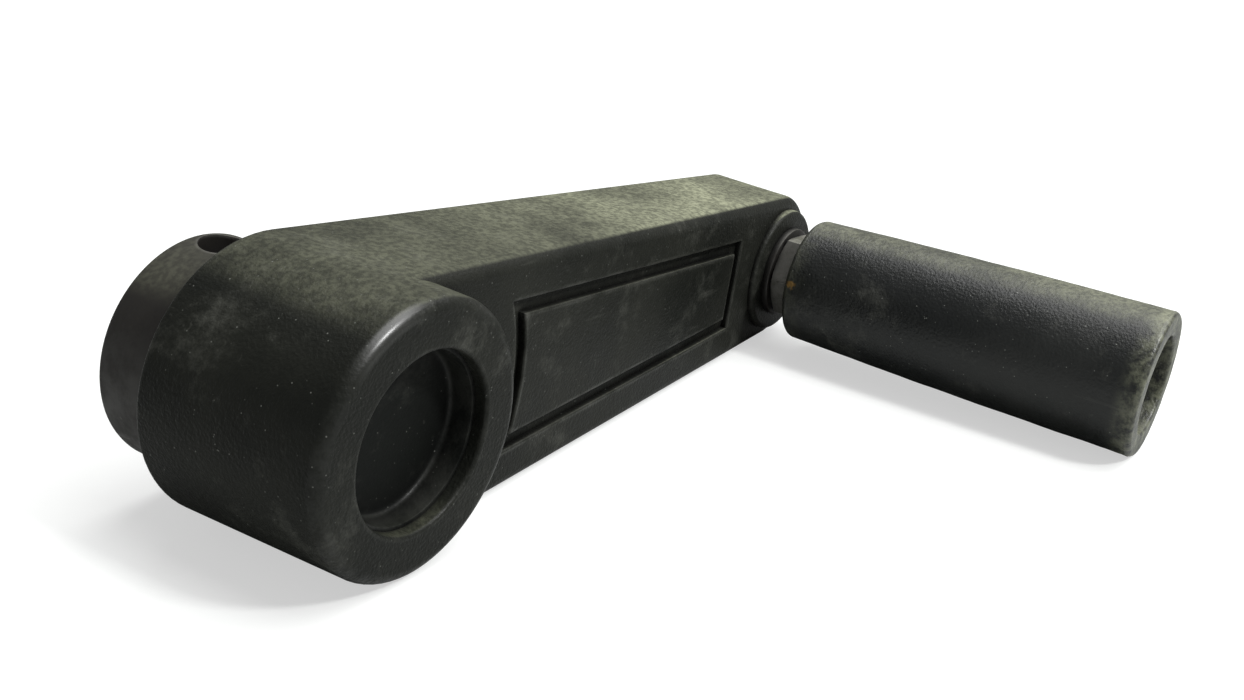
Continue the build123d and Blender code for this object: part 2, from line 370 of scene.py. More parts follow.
# %% Worn-edge group
edge_group, given, out = new_group(
    "worn_edges", {"Amount": 1.0, "Width": 0.8 * MM, "Break Scale": 160.0}, ["Mask", "Corner"])
inward = place(edge_group, "AmbientOcclusion", {"inside": True, "samples": 8}, Distance=given["Width"])
corner = ramp(edge_group, inward.outputs["AO"], 0.90, 0.58)
breaks = noise(edge_group, own_place(edge_group), given["Break Scale"], 6.0, 0.7)
worn = product(edge_group, corner, ramp(edge_group, breaks, 0.34, 0.6), given["Amount"])
edge_group.links.new(worn, out["Mask"])
edge_group.links.new(corner, out["Corner"])

# %% [markdown]
# ### Painted shade in corners
# The opposite effect, and painted shade rather than dirt: outward occlusion over a few millimetres darkens the
# colour of grooves and the foot of the boss, where shade falls. The cap's recess is deep, so it takes a longer
# reach.

# %% Painted corner-shade group
corner_shade_group, given, out = new_group("painted_corner_shade", {"Amount": 1.0, "Reach": 2.5 * MM}, ["Mask"])
outward = place(corner_shade_group, "AmbientOcclusion", {"samples": 8}, Distance=given["Reach"])
# Painted shade: the colour darkens where outward occlusion finds surfaces close by.
hollow = ramp(corner_shade_group, outward.outputs["AO"], 0.9, 0.35)
corner_shade_group.links.new(product(corner_shade_group, hollow, given["Amount"]), out["Mask"])

# %% [markdown]
# ### Moulded grain
# Textured moulds leave a fine pebble all over. Two sizes of noise give its height, and a sparse
# scatter of cells gives the pale specks of glass fibre and grit that sparkle on old nylon. A much
# larger noise gives the clouds in its colour.

# %% Grain group
SWELL_SCALE = 260.0
SWELL_SHARE = 0.4
CLOUD_SCALE = 38.0
grain_group, given, out = new_group(
    "moulded_grain", {"Grain Scale": 1900.0, "Speck Scale": 1700.0, "Specks": 1.0},
    ["Height", "Speck", "Cloud"])
spot = own_place(grain_group)
pebbles = noise(grain_group, spot, given["Grain Scale"], 2.0)
swell = product(grain_group, noise(grain_group, spot, SWELL_SCALE, 4.0), SWELL_SHARE)
grain_group.links.new(calc(grain_group, "ADD", pebbles, swell), out["Height"])
cells = place(grain_group, "TexVoronoi", Vector=spot, Scale=given["Speck Scale"])
dots = ramp(grain_group, cells.outputs["Distance"], 0.24, 0.08)
chance = place(grain_group, "SeparateColor", Color=cells.outputs["Color"]).outputs[0]
rare = ramp(grain_group, chance, 0.90, 0.995)
grain_group.links.new(product(grain_group, dots, rare, given["Specks"]), out["Speck"])
clouds = ramp(grain_group, noise(grain_group, spot, CLOUD_SCALE, 6.0, 0.62), 0.3, 0.7)
grain_group.links.new(clouds, out["Cloud"])

# %% [markdown]
# ### Fine scratches
# A scratch is a long thin line, so a noise stretched about thirtyfold along one direction and cut
# to its crests draws dozens of them. Two directions at odd angles stop them from looking combed.

# %% Scratch group
ONE_WAY = {"Rotation": (0.3, 0.9, 0.5), "Scale": (0.03, 1.0, 1.0)}
OTHER_WAY = {"Rotation": (1.1, 0.2, 2.0), "Scale": (1.0, 0.04, 1.0)}
scratch_group, given, out = new_group("fine_scratches", {"Amount": 1.0, "Scale": 1100.0}, ["Mask"])
spot = own_place(scratch_group)
lines = []
for stretched in (ONE_WAY, OTHER_WAY):
    laid = place(scratch_group, "Mapping", Vector=spot, **stretched).outputs[0]
    lines.append(ramp(scratch_group, noise(scratch_group, laid, given["Scale"], 2.0, 0.4), 0.69, 0.74))
both = calc(scratch_group, "MAXIMUM", *lines)
where = ramp(scratch_group, noise(scratch_group, spot, 60.0, 2.0), 0.5, 0.68)
scratch_group.links.new(product(scratch_group, both, where, given["Amount"]), out["Mask"])
print("effects:", ", ".join(group.name for group in bpy.data.node_groups))

# %% [markdown]
# ### The two mouldings and the cap
# Old black nylon isn't black: it is a dark grey-green with paler clouds, and dust turns it sage
# where it looks up. The arm, the grip and the cap share the recipe and differ in base colour, in how
# pebbled they are and in how much dust has stayed.

# %% Moulded plastic
DUST = (0.350, 0.364, 0.250, 1.0)
WORN = (0.100, 0.102, 0.088, 1.0)
# Near-black painted shade for grooves, corners and the cap's recess.
PAINTED_SHADE = (0.004, 0.004, 0.004, 1.0)
SPECK = (0.15, 0.155, 0.14, 1.0)
EVEN = (0.0, 1.0, 1.0)


def start_material(name):
    """A new material, its tree and its surface shader."""
    material = bpy.data.materials.new(name)
    material.use_nodes = True
    tree = material.node_tree
    return material, tree, tree.nodes["Principled BSDF"]


def moulded_plastic(name, dark, pale, gloss, dust, wear, specks=1.0, bump=0.6, shade_reach=2.5 * MM,
                    drift=EVEN, shine=0.26, smear=0.3, pebble=0.1 * MM):
    """
    Glass-filled nylon: clouds, settled dust, wear, painted shade in hollows and specks on a pebbled grain.
    dust is its amount, how far up a face must look to hold it, and the scale of its patches.
    drift is where along X the dust starts and stops growing to its full amount, and its first share.
    """
    material, tree, surface = start_material(name)
    spot = own_place(tree)
    texture = use_group(tree, grain_group, Specks=specks)
    edges = use_group(tree, edge_group, Amount=wear, Width=1.2 * MM)
    # Painted shade in grooves and hollows, found by outward occlusion.
    corner_shade = use_group(tree, corner_shade_group, Amount=0.85, Reach=shade_reach)["Mask"]
    scratch = use_group(tree, scratch_group, Amount=0.25)["Mask"]
    smears = ramp(tree, noise(tree, spot, 85.0, 10.0, 0.78), 0.52, 0.72, 0.0, smear)
    settled = use_group(tree, dust_group, Amount=dust[0], Reach=dust[1], Patch_Scale=dust[2])["Mask"]
    brushed_off = ramp(tree, edges["Corner"], 0.0, 1.0, 1.0, 0.45)
    film = product(tree, settled, brushed_off, ramp(tree, axis_of(tree, spot, "X"), *drift, 1.0))

    colour = blend(tree, texture["Cloud"], dark, pale)
    colour = blend(tree, smears, colour, WORN)
    colour = blend(tree, film, colour, DUST)
    colour = blend(tree, calc(tree, "MAXIMUM", edges["Mask"], scratch), colour, WORN)
    colour = blend(tree, corner_shade, colour, PAINTED_SHADE)
    colour = blend(tree, texture["Speck"], colour, SPECK)
    tree.links.new(colour, surface.inputs["Base Color"])

    rough = ramp(tree, texture["Cloud"], 0.0, 1.0, gloss, gloss + 0.09)
    rough = calc(tree, "ADD", rough, product(tree, film, 0.35))
    rough = calc(tree, "SUBTRACT", rough, product(tree, edges["Mask"], 0.2))
    tree.links.new(rough, surface.inputs["Roughness"])
    surface.inputs["IOR"].default_value = 1.5
    surface.inputs["Specular IOR Level"].default_value = shine
    tree.links.new(edges["Mask"], surface.inputs["Coat Weight"])
    surface.inputs["Coat Roughness"].default_value = 0.30
    surface.inputs["Coat IOR"].default_value = 1.5
    relief = place(tree, "Bump", Strength=bump, Distance=pebble, Height=texture["Height"])
    tree.links.new(relief.outputs[0], surface.inputs["Normal"])
    return material


arm_finish = moulded_plastic(
    "arm_nylon", dark=(0.0080, 0.0089, 0.0073, 1), pale=(0.0178, 0.0187, 0.0151, 1), gloss=0.42,
    dust=(0.96, 0.78, 45.0), wear=0.4, bump=1.0, drift=(0.1 * throw, throw, 0.24), shine=0.10,
    smear=0.42, pebble=0.16 * MM)
grip_finish = moulded_plastic(
    "grip_nylon", dark=(0.0075, 0.0088, 0.0085, 1), pale=(0.0165, 0.0180, 0.0165, 1), gloss=0.38,
    dust=(0.42, 0.80, 60.0), wear=0.6, specks=2.5, bump=1.0, shine=0.40, smear=0.5, pebble=0.14 * MM)
# The cap's long reach paints shade over its whole deep recess.
cap_finish = moulded_plastic(
    "cap_nylon", dark=(0.0040, 0.0050, 0.0042, 1), pale=(0.0062, 0.0072, 0.0060, 1), gloss=0.55,
    dust=(0.1, 0.8, 60.0), wear=0.2, specks=0.8, shade_reach=11.0 * MM, shine=0.12)

# %% [markdown]
# ### The hub's rubbed front edge and its painted highlight
# Sleeves brush past the hub, so its front edge is scuffed pale and shines, most of all on one short stretch on the
# clamping screw's side; that stretch is a painted highlight, paler colour laid where the front window's streak
# falls. The edge is a ring, so its mask is how far a point lies from that ring, broken up by noise. A second mask,
# the distance from one place on the ring, keeps the painted highlight whole. Together they drive a paler colour
# and a thin coat.

# %% Rubbed edge and painted highlight
EDGE_RADIUS = hub_radius - 1.45 * MM
EDGE_PLACE = hub_front + 0.55 * MM
EDGE_WIDTH = 1.5 * MM
# How far the colour turns pale: scuff wear all round, and a painted highlight on the stretch.
SCUFF_AND_HIGHLIGHT_TINT = 0.08
# Where the painted highlight sits on the edge, and how long it is.
HIGHLIGHT_ANGLE = math.radians(119)
HIGHLIGHT_SIZE = 9.0 * MM
ELSEWHERE = 0.3
highlight_place = Vector((EDGE_RADIUS * math.cos(HIGHLIGHT_ANGLE), EDGE_PLACE, EDGE_RADIUS * math.sin(HIGHLIGHT_ANGLE)))


def off_by(tree, value, target):
    """How far a number lies from its target, either way."""
    return calc(tree, "ABSOLUTE", calc(tree, "SUBTRACT", value, target))


def add_scuff_and_highlight(material):
    """Scuffs the hub's front edge, gives it a broken shine, and paints a highlight on one stretch."""
    tree = material.node_tree
    surface = tree.nodes["Principled BSDF"]
    under = surface.inputs["Base Color"].links[0].from_socket
    coat = surface.inputs["Coat Weight"].links[0].from_socket
    spot = own_place(tree)
    flat = place(tree, "Mapping", Vector=spot, Scale=(1, 0, 1)).outputs[0]
    aside = off_by(tree, distance(tree, flat, (0, 0, 0)), EDGE_RADIUS)
    ahead = off_by(tree, axis_of(tree, spot, "Y"), EDGE_PLACE)
    near = ramp(tree, calc(tree, "MAXIMUM", aside, ahead), 0.25 * EDGE_WIDTH, EDGE_WIDTH, 1.0, 0.0)
    broken = ramp(tree, noise(tree, spot, 130.0, 10.0, 0.75), 0.40, 0.60)
    # On this stretch the paler colour is a painted highlight.
    on_painted_highlight = ramp(tree, distance(tree, spot, highlight_place), 0.3 * HIGHLIGHT_SIZE, HIGHLIGHT_SIZE, 1.0, 0.0)
    most = calc(tree, "MAXIMUM", product(tree, broken, ELSEWHERE), on_painted_highlight)
    scuff_and_highlight = product(tree, near, most)
    tree.links.new(blend(tree, product(tree, scuff_and_highlight, SCUFF_AND_HIGHLIGHT_TINT), under, WORN), surface.inputs["Base Color"])
    tree.links.new(calc(tree, "MAXIMUM", coat, scuff_and_highlight), surface.inputs["Coat Weight"])


add_scuff_and_highlight(arm_finish)

# %% [markdown]
# ### Soiled grip ends
# Hands polish the middle of a grip and leave its ends grey, and this grip has a dab of ochre paint
# beside the spindle. Both are masks on the grip's own coordinates, so they turn with it.

# %% Grip soiling
OCHRE = (0.19, 0.115, 0.035, 1.0)
SOILED_LENGTH = 5.0 * MM
FULLY_SOILED = 0.6 * MM
OUTER_SOIL = 0.42
INNER_SOIL = 0.12
DAB_SIZE = 2.3 * MM
DAB_CORE = 1.8 * MM
paint_dab = Vector((throw - 12.0 * MM, grip_start - 1.6 * MM, 1.2 * MM))


def add_soiling(material):
    """Lays grey soiling near the grip's ends, and one dab of paint, over a finished colour."""
    tree = material.node_tree
    surface = tree.nodes["Principled BSDF"]
    under = surface.inputs["Base Color"].links[0].from_socket
    spot = own_place(tree)
    along = axis_of(tree, spot, "Y")
    middle = (grip_start + grip_end) / 2
    half = (grip_start - grip_end) / 2
    near_end = ramp(tree, off_by(tree, along, middle), half - SOILED_LENGTH, half - FULLY_SOILED)
    smudge = ramp(tree, noise(tree, spot, 420.0, 8.0, 0.72), 0.36, 0.66)
    share = ramp(tree, along, middle, grip_start, OUTER_SOIL, INNER_SOIL)
    colour = blend(tree, product(tree, near_end, smudge, share), under, DUST)
    uneven = product(tree, noise(tree, spot, 900.0, 4.0), 2.4 * MM)
    from_dab = calc(tree, "ADD", distance(tree, spot, paint_dab), uneven)
    dab = ramp(tree, from_dab, DAB_CORE, DAB_SIZE, 1.0, 0.0)
    tree.links.new(blend(tree, dab, colour, OCHRE), surface.inputs["Base Color"])


add_soiling(grip_finish)

# %% [markdown]
# ### Steel and bronze
# The collar is oil-blackened and turned, so fine rings run round it and the black has gone brown.
# The washer in front of the arm matches it. The spindle is bare and dull, the nut and the hidden
# washers are zinc plated, and the bushes are bronze.
# One recipe serves them all: a metal with turning marks, stains, dust and painted shade in its corners.

# %% Metals
BRIGHT = (0.36, 0.35, 0.33, 1)
RINGS_ONLY = (0.02, 1.0, 0.02)


def worked_metal(name, clean, stained, rough, dust, wear, metal=1.0):
    """Machined metal with turning marks along Y, stains, dust and painted shade in corners."""
    material, tree, surface = start_material(name)
    spot = own_place(tree)
    film = use_group(tree, dust_group, Amount=dust, Reach=0.6, Patch_Scale=90.0)["Mask"]
    edges = use_group(tree, edge_group, Amount=wear, Width=0.6 * MM)["Mask"]
    # Painted shade in corners, found by outward occlusion.
    corner_shade = use_group(tree, corner_shade_group, Amount=0.9, Reach=4.0 * MM)["Mask"]
    scratch = use_group(tree, scratch_group, Amount=0.7, Scale=1500.0)["Mask"]
    blotch = ramp(tree, noise(tree, spot, 140.0, 6.0, 0.7), 0.35, 0.75)

    colour = blend(tree, blotch, clean, stained)
    colour = blend(tree, calc(tree, "MAXIMUM", edges, scratch), colour, BRIGHT)
    colour = blend(tree, film, colour, DUST)
    tree.links.new(blend(tree, corner_shade, colour, PAINTED_SHADE), surface.inputs["Base Color"])

    cover = calc(tree, "MAXIMUM", film, product(tree, blotch, 0.35))
    bare = product(tree, calc(tree, "SUBTRACT", 1.0, cover), metal)
    tree.links.new(bare, surface.inputs["Metallic"])
    dull = ramp(tree, blotch, 0.0, 1.0, rough, rough + 0.2)
    tree.links.new(calc(tree, "ADD", dull, product(tree, film, 0.3)), surface.inputs["Roughness"])
    rings = place(tree, "Mapping", Vector=spot, Scale=RINGS_ONLY).outputs[0]
    relief = place(tree, "Bump", Strength=0.3, Distance=0.02 * MM, Height=noise(tree, rings, 5200.0, 2.0))
    tree.links.new(relief.outputs[0], surface.inputs["Normal"])
    return material


black_steel = worked_metal("oil_black_steel", (0.016, 0.0145, 0.012, 1), (0.009, 0.007, 0.005, 1),
                           rough=0.5, dust=0.15, wear=0.2, metal=0.3)
bare_steel = worked_metal("bare_steel", (0.34, 0.335, 0.31, 1), (0.09, 0.085, 0.07, 1),
                          rough=0.42, dust=0.6, wear=0.6)
zinc_steel = worked_metal("zinc_plate", (0.50, 0.50, 0.48, 1), (0.22, 0.21, 0.19, 1),
                          rough=0.38, dust=0.2, wear=0.3)
bronze = worked_metal("oily_bronze", (0.42, 0.27, 0.13, 1), (0.16, 0.10, 0.055, 1),
                      rough=0.36, dust=0.1, wear=0.3)
finishes = (arm_finish, grip_finish, cap_finish, black_steel, bare_steel, zinc_steel, bronze)
print("materials:", ", ".join(finish.name for finish in finishes))

# %% [markdown]
# ## The moulded arm
# The arm is the one piece whose shape is all compound: drafted walls, a sloping front, fillets that
# run into each other. The engineering model already has those surfaces exactly, so a copy of its
# mesh is the right blank. Its loose triangles are welded into one skin, flat areas are dissolved back
# to single faces, and the rims of the cells behind get the small round that a mould leaves. Normals
# weighted by face area keep the flat faces flat right up to the fillets.

# %% Arm
CELL_RIM = 0.3 * MM
FLAT_WITHIN = math.radians(0.3)
RIM_ANGLE = math.radians(60)
ON_BACK = 0.01 * MM


def copy_node(node, name):
    """A new piece from a node's mesh, with its loose triangles welded and its flat faces whole."""
    piece = bpy.data.objects.new(name, frame["nodes"][node].data.copy())
    bpy.context.scene.collection.objects.link(piece)
    piece.data.materials.clear()
    open_piece(piece)
    bpy.ops.mesh.customdata_custom_splitnormals_clear()
    bpy.ops.mesh.select_all(action="SELECT")
    bpy.ops.mesh.remove_doubles(threshold=WELD / 2)
    bpy.ops.mesh.dissolve_limited(angle_limit=FLAT_WITHIN)
    return close_piece()


def is_cell_rim(edge):
    """Whether an edge is the sharp rim of a cell in the arm's back face."""
    on_back = all(abs(point.co.y - hub_back) < ON_BACK for point in edge.verts)
    past_collar = edge.verts[0].co.x > collar_radius + MM
    return on_back and past_collar and edge.calc_face_angle(0) > RIM_ANGLE


arm = copy_node("crank_arm", "moulded_arm")
print("cell rim edges:", bevel_edges(arm, is_cell_rim, CELL_RIM, segments=2))
finish_piece(arm, "crank_arm", "crank", arm_finish, 32)
apply_modifier(arm, "WEIGHTED_NORMAL", keep_sharp=True, weight=100)

# %% [markdown]
# ## The hub's steel insert
# A round collar shows behind the hub, and a hexagon shank is locked in the nylon in front of it. On
# a bench it is one bar, turned, milled to a hexagon and drilled, so it is made the same way: a
# turned collar, a hexagon bar joined to it, the bore and the radial screw hole cut out. The drill
# for the bore opens out at the back, so the hole gets a lead-in for the shaft.

# %% Insert
SHANK_WALL = 3.5 * MM
COLLAR_CHAMFER = 0.7 * MM
BORE_LEAD_IN = 0.4 * MM
THREAD_FIT = 0.05 * MM
insert_back, insert_front = span("hub_insert")
screw_low, screw_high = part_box("set_screw")
screw_radius = (screw_high[0] - screw_low[0]) / 2
screw_y = (screw_high[1] + screw_low[1]) / 2


def upright_bar(name, radius, low, high, sides=64):
    """A plain bar that stands on Z at the screw's place: a cutting tool, thrown away after use."""
    bpy.ops.object.select_all(action="DESELECT")
    bpy.ops.mesh.primitive_cylinder_add(vertices=sides, radius=radius, depth=high - low,
                                        location=(0, screw_y, (low + high) / 2))
    bar = bpy.context.object
    bar.name = name
    bpy.ops.object.transform_apply(location=True, rotation=True, scale=True)
    return bar


insert = lathe("steel_insert", [(0, insert_back), (collar_radius, insert_back), (collar_radius, hub_back),
                                (0, hub_back)], steps=160)
round_ring(insert, collar_radius, insert_back, COLLAR_CHAMFER)
shank = hexagon("shank", 2 * (bore_radius + SHANK_WALL), hub_back + MM, insert_front)
screw_hole = upright_bar("screw_hole", screw_radius + THREAD_FIT, 0, collar_radius + MM)
combine(insert, shank, "UNION")
combine(insert, drill(bore_radius, BORE_LEAD_IN, insert_back, insert_front), "DIFFERENCE")
combine(insert, screw_hole, "DIFFERENCE")
finish_piece(insert, "hub_insert", "crank", black_steel, 30)

# %% [markdown]
# ## Threads
# The clamping screw and the spindle's stud have real helical threads. A turned blank has a ring
# every eighth of a pitch, and each point moves in by where it lies along the helix. That keeps the
# mesh closed, which a swept thread rarely is.

# %% Threads
RINGS_A_TURN = 8
OUTER_POINTS = 0.98


def ringed_outline(radius, low, high, pitch, chamfer):
    """A bar's outline with evenly spaced rings for a thread, closed at both ends."""
    length = high - low - 2 * chamfer
    rings = round(length * RINGS_A_TURN / pitch)
    side = [(radius, low + chamfer + length * ring / rings) for ring in range(rings + 1)]
    return [(0, low), (radius - chamfer, low)] + side + [(radius - chamfer, high), (0, high)]


def cut_thread(piece, radius, pitch, depth, low, high, across=0.0):
    """Moves the outer points of a ringed blank in along a right-hand helix, between two places."""
    for point in piece.data.vertices:
        along, aside, up = point.co.y, point.co.x - across, point.co.z
        reach = math.hypot(aside, up)
        if reach < radius * OUTER_POINTS or not low <= along <= high:
            continue
        phase = (along / pitch + math.atan2(up, aside) / (2 * math.pi)) % 1.0
        fade = min(1.0, (along - low) / pitch, (high - along) / pitch)
        scale = 1 - depth * fade * (1 - abs(2 * phase - 1)) / reach
        point.co.x = across + aside * scale
        point.co.z = up * scale


# %% [markdown]
# ## The clamping screw
# A headless screw with a hexagon socket. It is turned and threaded along Y like the other pieces
# and then stood upright. Blender's rotate tool turns the other way round when it runs without a
# window, hence the minus sign.

# %% Clamping screw
SCREW_PITCH = 1.25 * MM
SCREW_THREAD = 0.55 * MM
SCREW_CHAMFER = 0.5 * MM
SOCKET_FLATS = 4.0 * MM
SOCKET_DEPTH = 3.2 * MM
screw_foot, screw_head = screw_low[2], screw_high[2]
blank = ringed_outline(screw_radius, screw_foot, screw_head, SCREW_PITCH, SCREW_CHAMFER)
screw = lathe("clamp_screw", blank, steps=48)
cut_thread(screw, screw_radius, SCREW_PITCH, SCREW_THREAD, screw_foot, screw_head)
open_piece(screw)
bpy.ops.mesh.select_all(action="SELECT")
bpy.ops.transform.rotate(value=-math.pi / 2, orient_axis="X", center_override=(0, 0, 0))
bpy.ops.transform.translate(value=(0, screw_y, 0))
close_piece()
socket = upright_bar("socket", SOCKET_FLATS / math.sqrt(3), screw_head - SOCKET_DEPTH,
                     screw_head + SOCKET_DEPTH, sides=6)
combine(screw, socket, "DIFFERENCE")
open_piece(screw)
weld_and_face_out()
close_piece()
finish_piece(screw, "set_screw", "clamp_screw", black_steel, 40)

# %% [markdown]
# ## The dished cap
# The cap is a shallow cup pressed into the hub's mouth. A cup is one outline spun round,
# with the floor's corner bevelled wide, because a moulded cup has a soft inner corner, and the rim
# bevelled just enough to catch the light.

# %% Cap
CAP_WALL = 0.55 * MM
CAP_FLOOR = 1.5 * MM
CAP_CORNER = 0.9 * MM
CAP_RIM = 0.12 * MM
cap_back, cap_front = span("cover_cap")
cap_radius = radius_of("cover_cap")
cap_inner = cap_radius - CAP_WALL
cap_floor = cap_back - CAP_FLOOR
cap = lathe("dished_cap", [(0, cap_back), (cap_radius, cap_back), (cap_radius, cap_front),
                           (cap_inner, cap_front), (cap_inner, cap_floor), (0, cap_floor)], steps=128)
round_ring(cap, cap_inner, cap_floor, CAP_CORNER, segments=5)
round_ring(cap, cap_inner, cap_front, CAP_RIM, segments=2)
finish_piece(cap, "cover_cap", "crank", cap_finish, 40)

# %% [markdown]
# ## The revolving grip
# The hand holds a hollow sleeve, a little thicker at its outer end and slightly crowned. Its side
# is a straight taper with a slight bulge, so a formula draws it with enough rings to carry wear.
# Both ends and the mouth's two rims are bevelled. The bevel tool stops at the nearest ring, so the
# ends' rounds come out about a millimetre wide, though the values ask for more. Then two soft
# noises push the surface in, by about a fifth of a millimetre at most: a worn sleeve is never a
# perfect solid of revolution, and its highlight would give a perfect one away.

# %% Grip
GRIP_STEPS = 160
GRIP_RINGS = 72
THIN_END = 12.2 * MM
THICK_END = grip_radius - 0.02 * MM
CROWN = 0.25 * MM
MOUTH_RADIUS = 9.15 * MM
MOUTH_DEPTH = 18.0 * MM
FLANGE_STEP = 0.55 * MM
FLANGE_SUNK = 1.15 * MM
seat_radius = radius_of("inner_bush", throw)
barrel_radius = seat_radius - FLANGE_STEP
seat_floor = grip_start - FLANGE_SUNK
mouth_floor = grip_end + MOUTH_DEPTH

side = []
for ring in range(GRIP_RINGS + 1):
    part = ring / GRIP_RINGS
    bulge = CROWN * 4 * part * (1 - part)
    radius = THIN_END + (THICK_END - THIN_END) * part + bulge
    side.append((radius, grip_start + (grip_end - grip_start) * part))
inside = [(MOUTH_RADIUS, grip_end), (MOUTH_RADIUS, mouth_floor), (barrel_radius, mouth_floor),
          (barrel_radius, seat_floor), (seat_radius, seat_floor), (seat_radius, grip_start)]
outline = side + inside + side[:1]
print("grip outline points", len(outline))
sleeve = lathe("grip_sleeve", outline, throw, steps=GRIP_STEPS)
for radius, y, size, segments in (
    (THIN_END, grip_start, 3.0 * MM, 8),
    (THICK_END, grip_end, 3.4 * MM, 9),
    (MOUTH_RADIUS, grip_end, 0.7 * MM, 4),
    (MOUTH_RADIUS, mouth_floor, 0.6 * MM, 3),
):
    round_ring(sleeve, radius, y, size, throw, segments)


def press_in(piece, name, depth, size):
    """Lets a soft noise push a piece's surface inwards, never out of its true size."""
    pattern = bpy.data.textures.new(name, "CLOUDS")
    pattern.noise_scale = size
    pattern.noise_depth = 2
    apply_modifier(piece, "DISPLACE", texture=pattern, texture_coords="LOCAL", mid_level=1.0, strength=depth)


press_in(sleeve, "broad_wear", depth=0.16 * MM, size=7.0 * MM)
press_in(sleeve, "small_dents", depth=0.05 * MM, size=1.8 * MM)
finish_piece(sleeve, "grip", "revolving_grip", grip_finish, 50)

# %% [markdown]
# ## The spindle
# One turned and milled bar: a threaded stud that goes through the arm, a hexagon for the spanner,
# and the smooth journal that the grip spins on. The hexagon's corners are chamfered by keeping only
# what a turned blank with sloping ends shares with the hexagon bar, which gives the curved chamfer
# lines that a real milled hexagon shows.

# %% Spindle
STUD_RADIUS = 5.0 * MM
STUD_PITCH = 1.5 * MM
STUD_THREAD = 0.8 * MM
STUD_CHAMFER = 0.7 * MM
PLAIN_STUD = 5.0 * MM
RUN_IN = 0.5 * MM
HEX_FLATS = 15.0 * MM
INSIDE_FLATS = 0.985
HEX_GAP = 0.15 * MM
JOURNAL_RADIUS = 6.0 * MM
JOURNAL_EDGE = 0.55 * MM
GROOVE_DEPTH = 0.25 * MM
GROOVE_PLAY = 0.05 * MM
spindle_back, spindle_front = span("spindle")
washer_back, hex_back = span("spindle_washer")
hex_front = span("inner_bush")[0] + HEX_GAP
ring_back, ring_front = span("retaining_ring")


def chamfered_hexagon(name, across_flats, back, front, across, lift):
    """A hexagon bar whose corners are turned off at both ends."""
    bar = hexagon(name, across_flats, back, front, across)
    corner = across_flats / math.sqrt(3)
    flat = across_flats / 2 * INSIDE_FLATS
    turned = lathe("turned", [(0, back), (flat, back), (corner, back - lift), (corner, front + lift),
                              (flat, front), (0, front)], across, steps=144)
    return combine(bar, turned, "INTERSECT")


blank = ringed_outline(STUD_RADIUS, hex_back - RUN_IN, spindle_back, STUD_PITCH, STUD_CHAMFER)
spindle = lathe("spindle_turned", blank, throw, steps=48)
cut_thread(spindle, STUD_RADIUS, STUD_PITCH, STUD_THREAD, washer_back + PLAIN_STUD,
           spindle_back - STUD_CHAMFER, throw)
neck = chamfered_hexagon("neck", HEX_FLATS, hex_back, hex_front, throw, lift=0.55 * MM)
groove_radius = JOURNAL_RADIUS - GROOVE_DEPTH
groove_back, groove_front = ring_back + GROOVE_PLAY, ring_front - GROOVE_PLAY
journal = lathe("journal", [(0, hex_front + MM), (JOURNAL_RADIUS, hex_front + MM),
                            (JOURNAL_RADIUS, groove_back), (groove_radius, groove_back),
                            (groove_radius, groove_front), (JOURNAL_RADIUS, groove_front),
                            (JOURNAL_RADIUS, spindle_front), (0, spindle_front)], throw)
round_ring(journal, JOURNAL_RADIUS, spindle_front, JOURNAL_EDGE, throw, segments=2)
combine(spindle, neck, "UNION")
combine(spindle, journal, "UNION")
finish_piece(spindle, "spindle", "crank", bare_steel, 32)

# %% [markdown]
# ## Washers and bushes
# Plain washers and flanged bushes are turned tubes with a light bevel on their rims. A loop makes
# the washers and another the bushes, since they differ only in their sizes.

# %% Turned rings
STUD_HOLE = STUD_RADIUS + 0.15 * MM
JOURNAL_HOLE = JOURNAL_RADIUS + 0.05 * MM
RIM = 0.22 * MM
FLANGE_THICKNESS = 1.5 * MM
for name, node, hole, slot, finish in (
    ("front_washer", "spindle_washer", STUD_HOLE, "blackened_steel", black_steel),
    ("pocket_washer", "back_washer", STUD_HOLE, "zinc_steel", zinc_steel),
    ("grip_end_washer", "end_washer", JOURNAL_HOLE, "zinc_steel", zinc_steel),
):
    back, front = span(node)
    outer = radius_of(node, throw)
    washer = lathe(name, tube_outline(outer, hole, back, front), throw)
    for radius in (outer, hole):
        for end in (back, front):
            round_ring(washer, radius, end, RIM, throw, segments=2)
    finish_piece(washer, node, "crank", finish, 40)

for name, node, flange_at_back in (
    ("inner_bearing", "inner_bush", True),
    ("outer_bearing", "outer_bush", False),
):
    back, front = span(node)
    flange = radius_of(node, throw)
    if flange_at_back:
        step = back - FLANGE_THICKNESS
        outside = [(flange, back), (flange, step), (barrel_radius, step), (barrel_radius, front)]
    else:
        step = front + FLANGE_THICKNESS
        outside = [(barrel_radius, back), (barrel_radius, step), (flange, step), (flange, front)]
    bush = lathe(name, outside + [(JOURNAL_HOLE, front), (JOURNAL_HOLE, back), outside[0]], throw)
    for end in (back, front):
        round_ring(bush, JOURNAL_HOLE, end, RIM, throw, segments=2)
    round_ring(bush, flange, back if flange_at_back else front, RIM, throw, segments=2)
    finish_piece(bush, node, "revolving_grip", bronze, 40)

# %% [markdown]
# ## The split washer
# The spring washer is the same tube spun almost all the way round, which leaves its split. The two
# open ends are filled, and the split is turned to the clamping screw's side.

